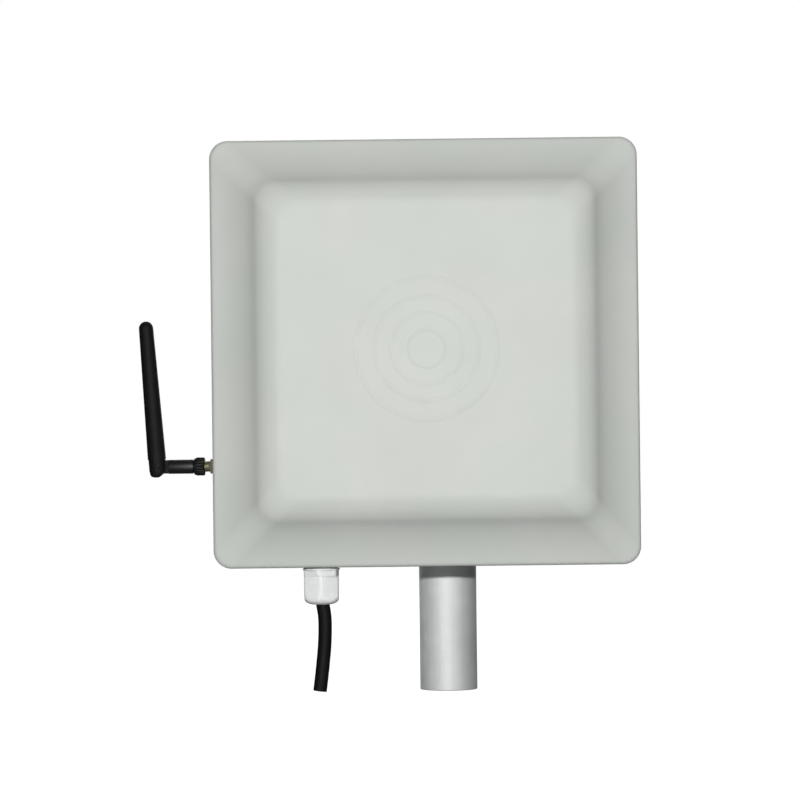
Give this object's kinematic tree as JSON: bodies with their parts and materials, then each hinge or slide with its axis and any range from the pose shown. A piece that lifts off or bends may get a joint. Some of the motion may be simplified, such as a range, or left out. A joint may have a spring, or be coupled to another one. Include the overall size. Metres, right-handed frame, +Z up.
{
  "type": "pole-mounted uhf tag reader",
  "caption": "Square panel reader with a raised centre, folding whip aerial, cable gland and cable, on a bracket that pans and tilts on a round mast.",
  "frame": {"origin": "centre of the flat foot of the mast, on the foot plug", "axes": "+Z up along the mast, -Y out of the radome's flat front, +X to the right seen from the front"},
  "size_m": [0.2765, 0.1548, 0.3103],
  "materials": {
    "radome_plastic": "moulded pale grey ABS, fine matt texture",
    "tray_paint": "pale grey powder coat on a cast tray",
    "white_nylon": "moulded white nylon",
    "black_plastic": "moulded black plastic",
    "whip_plastic": "black overmoulded elastomer, satin",
    "cable_jacket": "black PVC jacket",
    "rubber": "black sealing rubber",
    "gold_plate": "gold plated brass",
    "brass": "plain brass sheet",
    "mast_aluminium": "drawn tube, satin, faint lengthwise lines",
    "sheet_aluminium": "mill finish sheet",
    "zinc_plate": "zinc plated steel",
    "stainless_steel": "stainless steel",
    "cast_saddle": "galvanised casting",
    "tinned_steel": "tinned sheet steel",
    "circuit_board": "green solder mask on glass epoxy",
    "terminal_plastic": "green moulded terminal block"
  },
  "bodies": {
    "mast": {"mast_tube": "mast_aluminium", "mast_cap": "black_plastic", "foot_plug": "black_plastic"},
    "pole_clamp": {"clamp_bracket": "zinc_plate", "saddle_upper": "cast_saddle", "saddle_lower": "cast_saddle", "u_bolt_upper": "zinc_plate", "u_bolt_lower": "zinc_plate", "u_bolt_nut_1": "zinc_plate", "u_bolt_nut_2": "zinc_plate", "u_bolt_nut_3": "zinc_plate", "u_bolt_nut_4": "zinc_plate", "pivot_bolt": "zinc_plate", "pivot_nut": "zinc_plate", "tilt_lock_bolt": "zinc_plate", "tilt_lock_nut": "zinc_plate"},
    "reader": {"radome": "radome_plastic", "rear_tray": "tray_paint", "gasket": "rubber", "cover_screw_1": "stainless_steel", "cover_screw_2": "stainless_steel", "cover_screw_3": "stainless_steel", "cover_screw_4": "stainless_steel", "cover_screw_5": "stainless_steel", "cover_screw_6": "stainless_steel", "cover_screw_7": "stainless_steel", "cover_screw_8": "stainless_steel", "reflector_plate": "sheet_aluminium", "patch_radiator": "brass", "centre_post": "sheet_aluminium", "patch_spacer_1": "white_nylon", "patch_spacer_2": "white_nylon", "patch_spacer_3": "white_nylon", "patch_spacer_4": "white_nylon", "feed_pin": "brass", "reader_board": "circuit_board", "shield_can": "tinned_steel", "terminal_block": "terminal_plastic", "radio_module": "tinned_steel", "buzzer": "black_plastic", "board_screw_1": "stainless_steel", "board_screw_2": "stainless_steel", "pigtail": "cable_jacket", "rf_jumper": "cable_jacket", "sma_jack": "gold_plate", "sma_nut": "gold_plate", "gland_body": "white_nylon", "gland_locknut": "white_nylon", "gland_seal": "rubber", "gland_nut": "white_nylon", "cable": "cable_jacket", "reader_bracket": "zinc_plate", "bracket_screw_1": "zinc_plate", "bracket_screw_2": "zinc_plate", "bracket_screw_3": "zinc_plate", "bracket_screw_4": "zinc_plate"},
    "whip_collar": {"whip_collar": "whip_plastic"},
    "whip_arm": {"whip_arm": "whip_plastic", "elbow_pin": "black_plastic"},
    "whip": {"whip": "whip_plastic"}
  },
  "joints": [
    {"name": "mast_pan", "type": "hinge", "parent": "mast", "child": "pole_clamp", "pos_m": [0, 0, 0.1928], "axis": [0, 0, 1], "continuous": true},
    {"name": "panel_tilt", "type": "hinge", "parent": "pole_clamp", "child": "reader", "pos_m": [0, -0.046, 0.1928], "axis": [1, 0, 0], "range_deg": [-20, 20]},
    {"name": "collar_turn", "type": "hinge", "parent": "reader", "child": "whip_collar", "pos_m": [-0.1374, -0.083, 0.1321], "axis": [1, 0, 0], "continuous": true},
    {"name": "whip_swivel", "type": "hinge", "parent": "reader", "child": "whip_arm", "pos_m": [-0.1434, -0.083, 0.1321], "axis": [1, 0, 0], "continuous": true},
    {"name": "whip_fold", "type": "hinge", "parent": "whip_arm", "child": "whip", "pos_m": [-0.1639, -0.083, 0.1321], "axis": [0, 1, 0], "range_deg": [-85.9, 4.1]}
  ]
}
